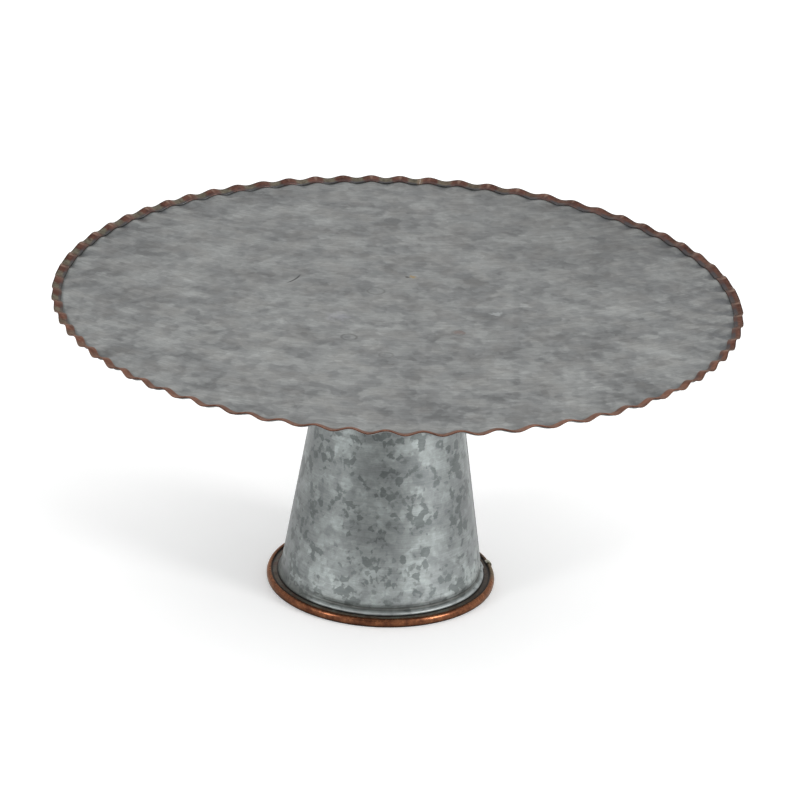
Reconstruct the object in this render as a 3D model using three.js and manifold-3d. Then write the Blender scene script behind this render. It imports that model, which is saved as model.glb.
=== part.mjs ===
// Galvanised sheet-metal cake stand on a conical pedestal.
// Units are millimetres, +Z is up.  The origin is on the surface the stand rests on,
// under the centre of the serving plate.

import * as THREE from 'three';
import { mergeVertices } from 'three/addons/utils/BufferGeometryUtils.js';
import Module from 'manifold-3d';

const wasm = await Module();
wasm.setup();

// ------------------------------------------------------------------ dimensions

const GAP = 0.3;                 // clearance between touching pieces
const SHEET = 0.6;               // galvanised sheet thickness
const TRIM = 0.5;                // copper-finished trim thickness

// Serving plate and its edging strip
const PLATE_R = 165;             // mean radius of the fluted edge
const EDGE_Z = 149.85;           // mean height of the edge, mid thickness
const EDGING_W = 4.4;            // radial width of the edging strip
const EDGING_RISE = 1.05;        // how far the strip rises from its inner to its outer edge
const EDGING_LAP = 1.3;          // overlap of the strip on the plate's margin
const EDGING_JOINT_DEG = 87;     // where the strip's two ends butt
const EDGING_JOINT = 0.35;       // width of that butt joint
const FLUTES = 67;               // waves round the edge
const FLUTE_Z = 0.86;            // wave amplitude, up and down
const FLUTE_R = 0.4;             // wave amplitude, in and out (out where the wave is low)
const FLUTE_START_R = 148;       // the flutes fade out inside this radius
const FLUTE_STEPS = 4;           // mesh steps in one wave
// The flutes are hand crimped, so their pitch drifts slowly round the edge:
// offset and harmonics (cos, sin) of the wave count, in waves.
const FLUTE_PHASE = -1.033;
const FLUTE_DRIFT = [
  [0.218, -0.251], [-0.039, 0.067], [-0.131, 0.084],
  [-0.022, -0.073], [-0.038, -0.040], [-0.007, -0.034],
];

// Pedestal.  The plate is welded on a little off the pedestal's axis.
const PEDESTAL_X = -2.7;         // pedestal axis, from the plate's centre
const CONE_R_TOP = 27.4;         // outer radius produced to the height EDGE_Z
const CONE_SLOPE = 0.1516;       // radius gained for each mm down
const CONE_SEGMENTS = 64;
const SEAM_DEG = 19;             // direction of the side seam
const SEAM_LAP_DEG = 10;         // overlap of the sheet's two ends
const TOP_DISC_FLANGE = 8;       // depth of the top disc's flange

// Foot
const FOOT_R = 56.1;             // largest radius of the rolled rim
const FOOT_RIM_H = 4.3;          // height of the rolled rim
const RIM_LIP_R = 53.9;          // free edge of the rim, lapped over the foot ring's flange
const FLANGE_Z = 3.6;            // top of the foot ring's flange, between cone and rim
const COLLAR_R = 48.7;           // collar inside the cone's bead
const COLLAR_H = 5.1;            // top of that collar
const WIRE_D = 1.5;              // core wire of the rolled rim
const RIM_JOINT_DEG = 15.5;      // direction of the rim's joint
const RIM_JOINT = 3.0;           // opening between the rim's two ends, closed by solder

// Derived heights
const STRIP_IN_Z = EDGE_Z - EDGING_RISE;                  // strip, mid thickness, inner edge
const PLATE_TOP = STRIP_IN_Z - TRIM / 2 - GAP;            // flat top of the plate
const PLATE_UNDER = PLATE_TOP - SHEET;
const CONE_TOP = PLATE_UNDER - GAP;
const coneR = (z) => CONE_R_TOP + CONE_SLOPE * (EDGE_Z - z);

// ------------------------------------------------------------------ materials

const galvanised = (color, roughness) =>
  new THREE.MeshStandardMaterial({ color, roughness, metalness: 0.85 });
const copper = new THREE.MeshStandardMaterial({ color: 0x8a4f35, roughness: 0.42, metalness: 0.9 });
const solderMat = new THREE.MeshStandardMaterial({ color: 0x9b9a8c, roughness: 0.5, metalness: 0.8 });
const wireMat = new THREE.MeshStandardMaterial({ color: 0x77787a, roughness: 0.4, metalness: 1.0 });
const patina = new THREE.MeshStandardMaterial({ color: 0x5b4a3e, roughness: 0.6, metalness: 0.7 });

// ------------------------------------------------------------------ geometry helpers

const DEG = Math.PI / 180;

function signedVolume(g) {
  const p = g.attributes.position, ix = g.index;
  let v = 0;
  for (let i = 0; i < ix.count; i += 3) {
    const [a, b, c] = [ix.getX(i), ix.getX(i + 1), ix.getX(i + 2)];
    v += p.getX(a) * (p.getY(b) * p.getZ(c) - p.getZ(b) * p.getY(c))
       - p.getY(a) * (p.getX(b) * p.getZ(c) - p.getZ(b) * p.getX(c))
       + p.getZ(a) * (p.getX(b) * p.getY(c) - p.getY(b) * p.getX(c));
  }
  return v / 6;
}

// Keep only positions, weld the shared vertices and face the surface outwards.
function closed(g) {
  g.deleteAttribute('normal');
  g.deleteAttribute('uv');
  let m = mergeVertices(g, 1e-4);
  const ix = [];
  for (let i = 0; i < m.index.count; i += 3) {
    const [a, b, c] = [m.index.getX(i), m.index.getX(i + 1), m.index.getX(i + 2)];
    if (a !== b && b !== c && a !== c) ix.push(a, b, c);
  }
  m.setIndex(ix);
  if (signedVolume(m) < 0) {
    for (let i = 0; i < ix.length; i += 3) [ix[i + 1], ix[i + 2]] = [ix[i + 2], ix[i + 1]];
    m.setIndex(ix);
  }
  m.computeVertexNormals();
  return m;
}

// A full ring or disc: a profile of [r, z] points turned about Z.
// warp(r, z, k) may move the points of the k-th section and gives [r, z, angle].
function turned(profile, segments, warp) {
  const g = new THREE.LatheGeometry(profile.map(([r, z]) => new THREE.Vector2(r, z)), segments);
  g.rotateX(Math.PI / 2);
  const p = g.attributes.position;
  const rows = profile.length;
  for (let i = 0; i < p.count; i++) {
    const k = Math.floor(i / rows) % segments;
    const [r0, z0] = profile[i % rows];
    const [r, z, a] = warp ? warp(r0, z0, k) : [r0, z0, (2 * Math.PI * k) / segments];
    p.setXYZ(i, r * Math.cos(a), r * Math.sin(a), z);
  }
  return closed(g);
}

// An open ring: sections of [r, z] points at given angles, with flat ends.
function swept(sections, angles) {
  const n = sections[0].length;
  const pos = [];
  sections.forEach((s, k) => s.forEach(([r, z]) => {
    pos.push(r * Math.cos(angles[k]), r * Math.sin(angles[k]), z);
  }));
  const ix = [];
  for (let k = 0; k + 1 < sections.length; k++) {
    for (let j = 0; j < n; j++) {
      const a = k * n + j, b = k * n + (j + 1) % n;
      ix.push(a, b, b + n, a, b + n, a + n);
    }
  }
  const cap = (k, flip) => {
    const outline = sections[k].map(([r, z]) => new THREE.Vector2(r, z));
    const ccw = !THREE.ShapeUtils.isClockWise(outline);
    for (const [a, b, c] of THREE.ShapeUtils.triangulateShape(outline, [])) {
      // triangulateShape keeps the outline's own order, so the cap follows the side faces
      const t = [a, b, c].map((v) => v + k * n);
      const s = new THREE.Vector2();
      const area = s.copy(outline[b]).sub(outline[a]).cross(outline[c].clone().sub(outline[a]));
      const same = (area > 0) === ccw;
      if (same !== flip) ix.push(t[0], t[1], t[2]); else ix.push(t[0], t[2], t[1]);
    }
  };
  cap(0, true);
  cap(sections.length - 1, false);
  const g = new THREE.BufferGeometry();
  g.setAttribute('position', new THREE.Float32BufferAttribute(pos, 3));
  g.setIndex(ix);
  return closed(g);
}

function toManifold(g) {
  return new wasm.Manifold(new wasm.Mesh({
    numProp: 3,
    vertProperties: new Float32Array(g.attributes.position.array),
    triVerts: new Uint32Array(g.index.array),
  }));
}

function fromManifold(m) {
  const mesh = m.getMesh();
  const g = new THREE.BufferGeometry();
  g.setAttribute('position', new THREE.BufferAttribute(new Float32Array(mesh.vertProperties), 3));
  g.setIndex(new THREE.BufferAttribute(new Uint32Array(mesh.triVerts), 1));
  return closed(g);
}

const smooth = (t) => {
  const s = Math.min(1, Math.max(0, t));
  return s * s * (3 - 2 * s);
};

// ------------------------------------------------------------------ the fluted edge

// Number of waves passed at the angle psi, counted clockwise from +X seen from above.
function waves(psi) {
  let c = FLUTE_PHASE + (FLUTES * psi) / (2 * Math.PI);
  FLUTE_DRIFT.forEach(([a, b], k) => {
    c += a * Math.cos((k + 1) * psi) + b * Math.sin((k + 1) * psi);
  });
  return c;
}

// Angles (anticlockwise) of every quarter wave.
const fluteAngles = [];
{
  const total = FLUTES * FLUTE_STEPS;
  const c0 = Math.ceil(waves(0) * FLUTE_STEPS) / FLUTE_STEPS;
  for (let k = 0; k < total; k++) {
    const want = c0 + k / FLUTE_STEPS;
    let lo = -0.2, hi = 2 * Math.PI + 0.2;
    for (let i = 0; i < 60; i++) {
      const mid = (lo + hi) / 2;
      if (waves(mid) < want) lo = mid; else hi = mid;
    }
    fluteAngles.push(-(lo + hi) / 2);
  }
  fluteAngles.reverse();
}

function flute(r, z, angle) {
  const e = smooth((r - FLUTE_START_R) / (PLATE_R - FLUTE_START_R));
  const w = e * Math.cos(2 * Math.PI * waves(-angle));
  return [r + FLUTE_R * w, z - FLUTE_Z * w];
}

// ------------------------------------------------------------------ serving plate

const PLATE_EDGE_R = PLATE_R - EDGING_W + EDGING_LAP - 0.1;

const plateGeometry = turned(
  [
    [0, PLATE_TOP], [FLUTE_START_R, PLATE_TOP], [154.5, PLATE_TOP], [PLATE_EDGE_R, PLATE_TOP],
    [PLATE_EDGE_R, PLATE_UNDER], [154.5, PLATE_UNDER], [FLUTE_START_R, PLATE_UNDER], [0, PLATE_UNDER],
  ],
  FLUTES * FLUTE_STEPS,
  (r, z, k) => {
    const a = fluteAngles[k];
    const [r1, z1] = flute(r, z, a);
    return [r1, z1, a];
  },
);

// Edging strip: laps over the plate's margin, then rises outwards to the rounded edge.
const stripMid = [
  [PLATE_R - EDGING_W, STRIP_IN_Z],
  [PLATE_R - EDGING_W + EDGING_LAP, STRIP_IN_Z + 0.12],
  [PLATE_R, EDGE_Z],
];
const stripSection = [
  ...stripMid.map(([r, z]) => [r, z - TRIM / 2]),
  ...stripMid.map(([r, z]) => [r, z + TRIM / 2]).reverse(),
];
let edgingGeometry;
{
  const joint = EDGING_JOINT_DEG * DEG;
  const half = EDGING_JOINT / 2 / PLATE_R;
  const inside = fluteAngles
    .map((a) => ((((a - joint) % (2 * Math.PI)) + 2 * Math.PI) % (2 * Math.PI)) + joint)
    .filter((a) => a > joint + 0.004 && a < joint + 2 * Math.PI - 0.004)
    .sort((a, b) => a - b);
  const angles = [joint + half, ...inside, joint + 2 * Math.PI - half];
  edgingGeometry = swept(angles.map((a) => stripSection.map(([r, z]) => flute(r, z, a))), angles);
}

// ------------------------------------------------------------------ pedestal cone

// Outer line of the cone's wall, from the top down: straight wall, groove, bead, bottom edge.
const coneLine = [
  [coneR(CONE_TOP), CONE_TOP],
  [coneR(9.2), 9.2],
  [48.42, 7.9],
  [48.42, 6.8],
  [49.0, 6.1],
  [49.9, 5.5],
  [50.5, 4.8],
  [50.6, 4.3],
  [50.5, FLANGE_Z + GAP],
];
const coneInner = [
  [coneR(CONE_TOP) - SHEET, CONE_TOP],
  [coneR(9.2) - SHEET, 9.2],
  [47.82, 7.9],
  [47.82, 6.6],
  [48.55, 5.68],
  [49.5, 5.05],
  [49.95, 4.45],
  [49.9, FLANGE_Z + GAP],
];
let coneGeometry;
{
  // The sheet's outer end laps over its inner end.  Its last part steps out by one
  // thickness and a gap.
  const start = SEAM_DEG * DEG;
  const lap = SEAM_LAP_DEG * DEG;
  const n = CONE_SEGMENTS;
  const angles = [];
  for (let k = 0; k <= n; k++) angles.push(start - lap + (2 * Math.PI * k) / n);
  // the overlapping end, in short steps
  const step = SHEET + GAP + 0.05;
  const joggle = 3 * DEG;
  const body = angles.filter((a) => a < start - lap + 2 * Math.PI - joggle - 0.02);
  const end = [
    start - lap + 2 * Math.PI - joggle,
    start - lap + 2 * Math.PI - 0.4 * DEG,
    start - lap / 2 + 2 * Math.PI,
    start + 2 * Math.PI,
  ];
  const all = [...body, ...end];
  const out = (a) => {
    const t = (a - (start - lap + 2 * Math.PI - joggle)) / (joggle - 0.4 * DEG);
    return step * Math.min(1, Math.max(0, t));
  };
  const sections = all.map((a) => {
    const s = out(a);
    return [
      ...coneLine.map(([r, z]) => [r + s, z]),
      ...coneInner.map(([r, z]) => [r + s, z]).reverse(),
    ];
  });
  coneGeometry = swept(sections, all);
}

// Solder run in the corner along the outer end of the lap seam.
let seamGeometry;
{
  const z0 = 12, z1 = 144;
  const a = SEAM_DEG * DEG;
  const halfW = 0.8, halfH = 0.38;
  const point = (z) => {
    const r = coneR(z) + GAP + halfH + 0.03;
    const out = a + (halfW + GAP + 0.05) / r;
    return new THREE.Vector3(r * Math.cos(out), r * Math.sin(out), z);
  };
  const foot = point(z0);
  const along = point(z1).sub(foot);
  const length = along.length();
  along.normalize();
  const tangent = new THREE.Vector3(-Math.sin(a), Math.cos(a), 0);
  const outward = tangent.clone().cross(along).normalize();
  tangent.copy(along).cross(outward).normalize();
  const shape = new THREE.Shape();
  shape.absellipse(0, 0, halfH, halfW, 0, 2 * Math.PI);
  const g = new THREE.ExtrudeGeometry(shape, { depth: length, steps: 6, bevelEnabled: false, curveSegments: 8 });
  g.applyMatrix4(new THREE.Matrix4().makeBasis(outward, tangent, along).setPosition(foot));
  seamGeometry = closed(g);
}

// ------------------------------------------------------------------ pedestal top disc

const discTop = CONE_TOP;
const wall = SHEET + GAP + 0.05;
const topDiscGeometry = turned(
  [
    [0, discTop],
    [coneR(discTop) - wall - 0.5, discTop],
    [coneR(discTop - 0.6) - wall, discTop - 0.6],
    [coneR(discTop - TOP_DISC_FLANGE) - wall, discTop - TOP_DISC_FLANGE],
    [coneR(discTop - TOP_DISC_FLANGE) - wall - SHEET, discTop - TOP_DISC_FLANGE],
    [coneR(discTop - 0.6) - wall - SHEET, discTop - 0.6 - SHEET / 2],
    [coneR(discTop) - wall - SHEET - 0.3, discTop - SHEET],
    [0, discTop - SHEET],
  ],
  48,
);

// ------------------------------------------------------------------ foot

const footRingGeometry = turned(
  [
    [COLLAR_R - SHEET, FLANGE_Z - SHEET], [FOOT_R - 1.0, FLANGE_Z - SHEET], [FOOT_R - 1.0, FLANGE_Z],
    [COLLAR_R, FLANGE_Z], [COLLAR_R, COLLAR_H], [COLLAR_R - SHEET, COLLAR_H],
    [COLLAR_R - SHEET, FLANGE_Z - SHEET],
  ],
  CONE_SEGMENTS,
);

// Rolled rim: from its lip on the flange over the edge, down the outside, back in and up
// round the wire.
const rimSection = [
  [53.0, 2.3], [53.0, 0.75], [53.55, 0], [FOOT_R - 0.5, 0], [FOOT_R, 1.0], [FOOT_R, 2.95],
  [FOOT_R - 0.3, 3.75], [FOOT_R - 0.9, FOOT_RIM_H - 0.05], [FOOT_R - 1.6, FOOT_RIM_H],
  [RIM_LIP_R, FOOT_RIM_H - 0.15],
  [RIM_LIP_R, FLANGE_Z + GAP], [FOOT_R - 1.1, FLANGE_Z + GAP], [FOOT_R - 0.7, 3.55],
  [FOOT_R - TRIM, 2.9], [FOOT_R - TRIM, 1.1], [FOOT_R - 0.75, 0.5], [53.75, 0.5], [53.5, 0.85],
  [53.5, 2.3],
];
let footRimGeometry;
{
  const half = RIM_JOINT / 2 / FOOT_R;
  const n = CONE_SEGMENTS;
  const angles = [];
  for (let k = 0; k <= n; k++) {
    angles.push(RIM_JOINT_DEG * DEG + half + ((2 * Math.PI - 2 * half) * k) / n);
  }
  footRimGeometry = swept(angles.map(() => rimSection), angles);
}

const wireR = 54.55;
const wireZ = 1.55;
const wireCircle = (d, n) => {
  const pts = [];
  for (let i = 0; i <= n; i++) {
    const a = (2 * Math.PI * (i % n)) / n;
    pts.push([wireR + (d / 2) * Math.cos(a), wireZ + (d / 2) * Math.sin(a)]);
  }
  return pts;
};
const wireGeometry = turned(wireCircle(WIRE_D, 8), CONE_SEGMENTS);

// Solder lump in the rim's joint: a rough blob that caps the gap above and outside the flange.
let lumpGeometry;
{
  const blob = new THREE.SphereGeometry(1, 20, 14);
  const p = blob.attributes.position;
  for (let i = 0; i < p.count; i++) {
    const x = p.getX(i), y = p.getY(i), z = p.getZ(i);
    const rough = 1 + 0.05 * Math.sin(5 * x + 2 * z) * Math.cos(4 * y - 3 * z);
    p.setXYZ(i, 54.75 + 1.55 * rough * x, 1.18 * y, 2.95 + 1.6 * rough * z);
  }
  let m = toManifold(closed(blob));
  const inside = new THREE.BoxGeometry(20, 20, 10);
  inside.translate(FOOT_R - 0.65 - 10, 0, FLANGE_Z + GAP - 5);
  m = m.subtract(toManifold(closed(inside)));
  lumpGeometry = fromManifold(m);
}

// ------------------------------------------------------------------ assembly

const stand = new THREE.Group();

function add(parent, name, geometry, material) {
  const mesh = new THREE.Mesh(geometry, material);
  mesh.name = name;
  parent.add(mesh);
  return mesh;
}

const plateGroup = new THREE.Group();
add(plateGroup, 'serving_plate', plateGeometry, galvanised(0x8a8d8b, 0.45));
add(plateGroup, 'plate_edging', edgingGeometry, copper);
stand.add(plateGroup);

const pedestal = new THREE.Group();
pedestal.position.set(PEDESTAL_X, 0, 0);
add(pedestal, 'pedestal_cone', coneGeometry, galvanised(0x9aa3a4, 0.4));
add(pedestal, 'pedestal_top_disc', topDiscGeometry, galvanised(0x868a8a, 0.5));
add(pedestal, 'seam_solder', seamGeometry, solderMat);
add(pedestal, 'foot_ring', footRingGeometry, patina);
add(pedestal, 'foot_rim', footRimGeometry, copper);
add(pedestal, 'foot_rim_wire', wireGeometry, wireMat);

const joint = new THREE.Group();
joint.rotation.z = RIM_JOINT_DEG * DEG;
add(joint, 'rim_joint_solder', lumpGeometry, solderMat);
pedestal.add(joint);
stand.add(pedestal);

export default stand;
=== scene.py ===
import math

import bpy
import numpy as np
from mathutils import Matrix, Vector, noise


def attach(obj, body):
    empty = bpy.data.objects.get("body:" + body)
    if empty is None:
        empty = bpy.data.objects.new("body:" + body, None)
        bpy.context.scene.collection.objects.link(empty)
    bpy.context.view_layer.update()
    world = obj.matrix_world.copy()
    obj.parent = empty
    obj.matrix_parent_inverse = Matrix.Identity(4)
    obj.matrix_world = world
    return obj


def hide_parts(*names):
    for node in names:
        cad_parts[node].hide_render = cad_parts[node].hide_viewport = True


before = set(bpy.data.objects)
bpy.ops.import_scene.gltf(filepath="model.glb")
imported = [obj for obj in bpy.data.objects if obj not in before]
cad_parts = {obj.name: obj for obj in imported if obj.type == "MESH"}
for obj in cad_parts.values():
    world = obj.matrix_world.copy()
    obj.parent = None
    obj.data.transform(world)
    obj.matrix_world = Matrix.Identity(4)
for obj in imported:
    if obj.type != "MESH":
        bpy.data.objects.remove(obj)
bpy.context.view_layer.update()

MM = 0.001

# ------------------------------------------------------------------ dimensions (millimetres)

PLATE_R, EDGE_Z = 165.0, 149.85
EDGING_W, EDGING_RISE, EDGING_LAP = 4.4, 1.05, 1.3
TRIM, SHEET, GAP = 0.5, 0.6, 0.3
FLUTES, FLUTE_Z, FLUTE_R, FLUTE_START_R = 67, 0.86, 0.40, 148.0
FLUTE_PHASE = -1.033
FLUTE_DRIFT = [
    (0.218, -0.251), (-0.039, 0.067), (-0.131, 0.084),
    (-0.022, -0.073), (-0.038, -0.040), (-0.007, -0.034),
]
EDGING_JOINT_DEG = 87.0
STRIP_IN_Z = EDGE_Z - EDGING_RISE
PLATE_TOP = STRIP_IN_Z - TRIM / 2 - GAP
PLATE_UNDER = PLATE_TOP - SHEET

PED_X = -2.7
CONE_R_TOP, CONE_SLOPE = 27.4, 0.1516
SEAM_DEG, SEAM_LAP_DEG = 19.0, 10.0
CONE_TOP = PLATE_UNDER - GAP
FOOT_R, FOOT_RIM_H, FLANGE_Z = 56.1, 4.3, 3.6
RIM_LIP_R, COLLAR_R, COLLAR_H = 53.9, 48.7, 5.1
RIM_JOINT_DEG = 15.5


def cone_r(z):
    return CONE_R_TOP + CONE_SLOPE * (EDGE_Z - z)


def smooth(t):
    s = np.clip(t, 0.0, 1.0)
    return s * s * (3 - 2 * s)


# ------------------------------------------------------------------ flutes

def waves(psi):
    c = FLUTE_PHASE + FLUTES * psi / (2 * math.pi)
    for k, (a, b) in enumerate(FLUTE_DRIFT):
        c = c + a * np.cos((k + 1) * psi) + b * np.sin((k + 1) * psi)
    return c


def flute_angles(steps):
    """Angles, anticlockwise, at which the wave count is a multiple of 1/steps."""
    psi = np.linspace(-0.3, 2 * math.pi + 0.3, 60001)
    c = waves(psi)
    c0 = math.ceil(float(waves(np.array([0.0]))[0]) * steps) / steps
    want = c0 + np.arange(FLUTES * steps) / steps
    return -np.interp(want, c, psi)[::-1]


def flute_shift(r, ang):
    """(dr, dz) that the flutes add at radius r and angle ang."""
    e = smooth((r - FLUTE_START_R) / (PLATE_R - FLUTE_START_R))
    w = e * np.cos(2 * math.pi * waves((-ang) % (2 * math.pi)))
    # each flute is a little deeper or shallower than the next
    depth = 1 + 0.10 * np.sin(5 * ang + 1.3) + 0.07 * np.sin(11 * ang + 0.4) + 0.06 * np.sin(23 * ang + 2.0)
    depth = np.minimum(depth, 1.0)
    return FLUTE_R * w * depth, -FLUTE_Z * w * depth


# ------------------------------------------------------------------ mesh helpers

def mesh_object(name, verts, faces, smooth_angle=40.0):
    """verts in millimetres in the row frame."""
    me = bpy.data.meshes.new(name)
    me.from_pydata([tuple(v) for v in (np.asarray(verts, float) * MM)], [], faces)
    me.validate(clean_customdata=False)
    me.update()
    ob = bpy.data.objects.new(name, me)
    bpy.context.scene.collection.objects.link(ob)
    bpy.ops.object.select_all(action="DESELECT")
    ob.select_set(True)
    bpy.context.view_layer.objects.active = ob
    bpy.ops.object.mode_set(mode="EDIT")
    bpy.ops.mesh.select_all(action="SELECT")
    bpy.ops.mesh.normals_make_consistent(inside=False)
    bpy.ops.object.mode_set(mode="OBJECT")
    bpy.ops.object.shade_smooth_by_angle(angle=math.radians(smooth_angle))
    return ob


def point_values(ob, name, values):
    at = ob.data.attributes.new(name, "FLOAT", "POINT")
    at.data.foreach_set("value", np.asarray(values, np.float32))


def grid_faces(rows, cols, close_rows=True, close_cols=True):
    """Quads of a rows x cols lattice, wrapped where asked."""
    f = []
    for i in range(rows if close_rows else rows - 1):
        i1 = (i + 1) % rows
        for j in range(cols if close_cols else cols - 1):
            j1 = (j + 1) % cols
            f.append((i * cols + j, i * cols + j1, i1 * cols + j1, i1 * cols + j))
    return f


def ring(name, section, angles, cx=0.0, closed=True, warp=None, smooth_angle=40.0):
    """A section of (r, z) points, or a function of the angle giving one, taken round the angles.
    warp(r, z, a) moves points.  An open ring gets flat ends."""
    secs = [np.asarray(section(a) if callable(section) else section, float) for a in angles]
    n = len(secs[0])
    pts = []
    for s, a in zip(secs, angles):
        r, z = s[:, 0], s[:, 1]
        aa = np.full(n, a)
        if warp:
            r, z, aa = warp(r, z, aa)
        pts.append(np.stack([cx + r * np.cos(aa), r * np.sin(aa), z], 1))
    verts = np.concatenate(pts)
    faces = grid_faces(len(angles), n, close_rows=closed, close_cols=True)
    if not closed:
        faces.append(tuple(range(n)))
        faces.append(tuple((len(angles) - 1) * n + j for j in reversed(range(n))))
    return mesh_object(name, verts, faces, smooth_angle)


def rounded(points, radius, steps=4):
    """A closed outline with its corners rounded."""
    p = [np.array(q, float) for q in points]
    out = []
    n = len(p)
    for i in range(n):
        a, b, c = p[i - 1], p[i], p[(i + 1) % n]
        r = radius[i] if isinstance(radius, (list, tuple)) else radius
        u, v = a - b, c - b
        lu, lv = np.linalg.norm(u), np.linalg.norm(v)
        d = min(r, 0.45 * lu, 0.45 * lv)
        if d < 1e-4:
            out.append(b)
            continue
        s, e = b + u / lu * d, b + v / lv * d
        for k in range(steps + 1):
            t = k / steps
            out.append((1 - t) ** 2 * s + 2 * t * (1 - t) * b + t * t * e)
    return np.array(out)


def lowfreq(x, y, z, scale, seed=0.0):
    """Smooth noise in -1..1 at points given in mm."""
    x, y, z = np.broadcast_arrays(np.asarray(x, float), y, z)
    out = np.empty(x.size)
    for i, (a, b, c) in enumerate(zip(x.ravel(), y.ravel(), z.ravel())):
        out[i] = noise.noise(Vector((a / scale + seed, b / scale - seed, c / scale + 2 * seed)))
    return out.reshape(x.shape)


# ------------------------------------------------------------------ node material helpers

class Nodes:
    """A short way to write node graphs."""

    def __init__(self, name):
        self.mat = bpy.data.materials.new(name)
        self.mat.use_nodes = True
        self.t = self.mat.node_tree
        self.t.nodes.clear()
        self.out = self.t.nodes.new("ShaderNodeOutputMaterial")
        self.bsdf = self.t.nodes.new("ShaderNodeBsdfPrincipled")
        self.t.links.new(self.bsdf.outputs[0], self.out.inputs[0])
        tc = self.t.nodes.new("ShaderNodeTexCoord")
        mp = self.t.nodes.new("ShaderNodeMapping")
        mp.inputs["Scale"].default_value = (1000, 1000, 1000)
        self.t.links.new(tc.outputs["Object"], mp.inputs["Vector"])
        self.mm = mp.outputs[0]

    def _in(self, sock, val):
        if val is None:
            return
        if hasattr(val, "is_output"):
            self.t.links.new(val, sock)
        else:
            sock.default_value = val

    def math(self, op, a, b=None, c=None, clamp=False):
        n = self.t.nodes.new("ShaderNodeMath")
        n.operation = op
        n.use_clamp = clamp
        self._in(n.inputs[0], a)
        self._in(n.inputs[1], b)
        self._in(n.inputs[2], c)
        return n.outputs[0]

    def vmath(self, op, a, b=None):
        n = self.t.nodes.new("ShaderNodeVectorMath")
        n.operation = op
        self._in(n.inputs[0], a)
        self._in(n.inputs[1], b)
        return n.outputs["Value"] if op in ("LENGTH", "DOT_PRODUCT", "DISTANCE") else n.outputs[0]

    def scale(self, v, s):
        n = self.t.nodes.new("ShaderNodeVectorMath")
        n.operation = "SCALE"
        self._in(n.inputs[0], v)
        self._in(n.inputs["Scale"], s)
        return n.outputs[0]

    def sep(self, v):
        n = self.t.nodes.new("ShaderNodeSeparateXYZ")
        self._in(n.inputs[0], v)
        return n.outputs

    def comb(self, x, y, z):
        n = self.t.nodes.new("ShaderNodeCombineXYZ")
        for i, v in enumerate((x, y, z)):
            self._in(n.inputs[i], v)
        return n.outputs[0]

    def attr(self, name):
        n = self.t.nodes.new("ShaderNodeAttribute")
        n.attribute_type = "GEOMETRY"
        n.attribute_name = name
        return n.outputs["Fac"]

    def noise(self, vec, scale, detail=2.0, rough=0.5, dist=0.0, color=False):
        n = self.t.nodes.new("ShaderNodeTexNoise")
        self._in(n.inputs["Vector"], vec)
        n.inputs["Scale"].default_value = scale
        n.inputs["Detail"].default_value = detail
        n.inputs["Roughness"].default_value = rough
        n.inputs["Distortion"].default_value = dist
        return n.outputs["Color"] if color else n.outputs["Fac"]

    def voronoi(self, vec, scale, feature="F1", rnd=1.0, smooth=0.0):
        n = self.t.nodes.new("ShaderNodeTexVoronoi")
        n.feature = feature
        self._in(n.inputs["Vector"], vec)
        n.inputs["Scale"].default_value = scale
        n.inputs["Randomness"].default_value = rnd
        if feature == "SMOOTH_F1":
            n.inputs["Smoothness"].default_value = smooth
        return n.outputs

    def ramp(self, fac, stops, interp="LINEAR"):
        n = self.t.nodes.new("ShaderNodeValToRGB")
        n.color_ramp.interpolation = interp
        el = n.color_ramp.elements
        while len(el) < len(stops):
            el.new(0.5)
        for e, (p, c) in zip(el, stops):
            e.position = p
            e.color = (c, c, c, 1) if isinstance(c, (int, float)) else (*c, 1)
        self._in(n.inputs[0], fac)
        return n.outputs[0]

    def step(self, v, lo, hi):
        n = self.t.nodes.new("ShaderNodeMapRange")
        n.interpolation_type = "SMOOTHSTEP"
        self._in(n.inputs["Value"], v)
        n.inputs["From Min"].default_value = lo
        n.inputs["From Max"].default_value = hi
        n.inputs["To Min"].default_value = 0
        n.inputs["To Max"].default_value = 1
        return n.outputs[0]

    def mix(self, fac, a, b, blend="MIX"):
        n = self.t.nodes.new("ShaderNodeMix")
        n.data_type = "RGBA"
        n.blend_type = blend
        n.clamp_factor = True
        self._in(n.inputs[0], fac)
        for i, v in ((6, a), (7, b)):
            self._in(n.inputs[i], (*v, 1) if isinstance(v, tuple) and len(v) == 3 else v)
        return n.outputs[2]

    def mixf(self, fac, a, b):
        n = self.t.nodes.new("ShaderNodeMix")
        n.data_type = "FLOAT"
        self._in(n.inputs[0], fac)
        self._in(n.inputs[2], a)
        self._in(n.inputs[3], b)
        return n.outputs[0]

    def bump(self, height, strength, distance_mm):
        n = self.t.nodes.new("ShaderNodeBump")
        n.inputs["Strength"].default_value = strength
        n.inputs["Distance"].default_value = distance_mm * MM
        self._in(n.inputs["Height"], height)
        return n.outputs[0]

    def finish(self, color, rough, metallic, normal=None, spec=0.5, tint=None):
        b = self.bsdf.inputs
        if tint is not None:
            b["Specular Tint"].default_value = (*tint, 1)
        self._in(b["Base Color"], (*color, 1) if isinstance(color, tuple) else color)
        self._in(b["Roughness"], rough)
        self._in(b["Metallic"], metallic)
        b["Specular IOR Level"].default_value = spec
        if normal is not None:
            self._in(b["Normal"], normal)
        return self.mat


def srgb(*c):
    """sRGB 0-255 to linear."""
    out = []
    for v in c:
        v = v / 255
        out.append(v / 12.92 if v <= 0.04045 else ((v + 0.055) / 1.055) ** 2.4)
    return tuple(out)


# ------------------------------------------------------------------ materials

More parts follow.
